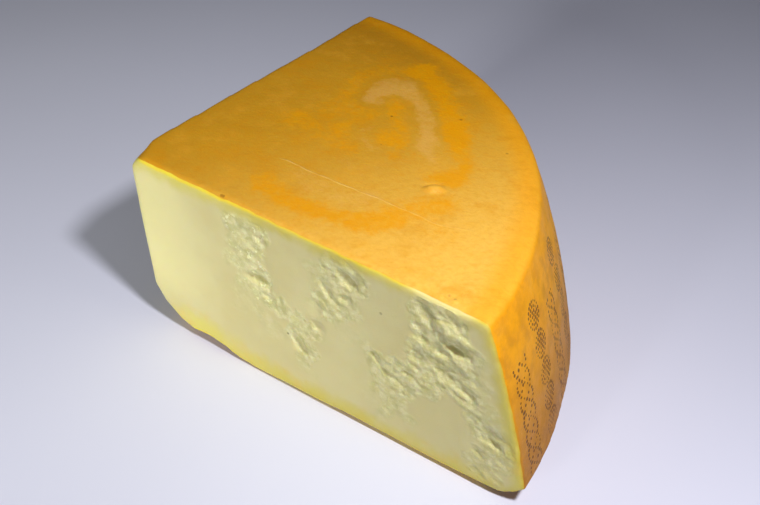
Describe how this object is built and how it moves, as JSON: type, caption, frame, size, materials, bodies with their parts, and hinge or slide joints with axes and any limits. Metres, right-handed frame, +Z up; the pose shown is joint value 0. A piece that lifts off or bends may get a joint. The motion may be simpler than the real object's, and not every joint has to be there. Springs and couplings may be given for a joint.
{
  "type": "cheese wedge",
  "caption": "Wedge cut from a low wheel of hard cheese, with a waxy orange rind, torn pale yellow cut faces and a blunt point.",
  "frame": {"origin": "centre of the wedge's footprint box, on the surface that it rests on", "axes": "+Z up along the wheel's own axis; the front cut face is upright and looks along -Y; the point is at -X and the rounded heel at +X and +Y"},
  "size_m": [0.2268, 0.2268, 0.1122],
  "materials": {
    "cheese": "satin"
  },
  "bodies": {
    "root": {"cheese_wedge": "cheese"}
  },
  "joints": []
}
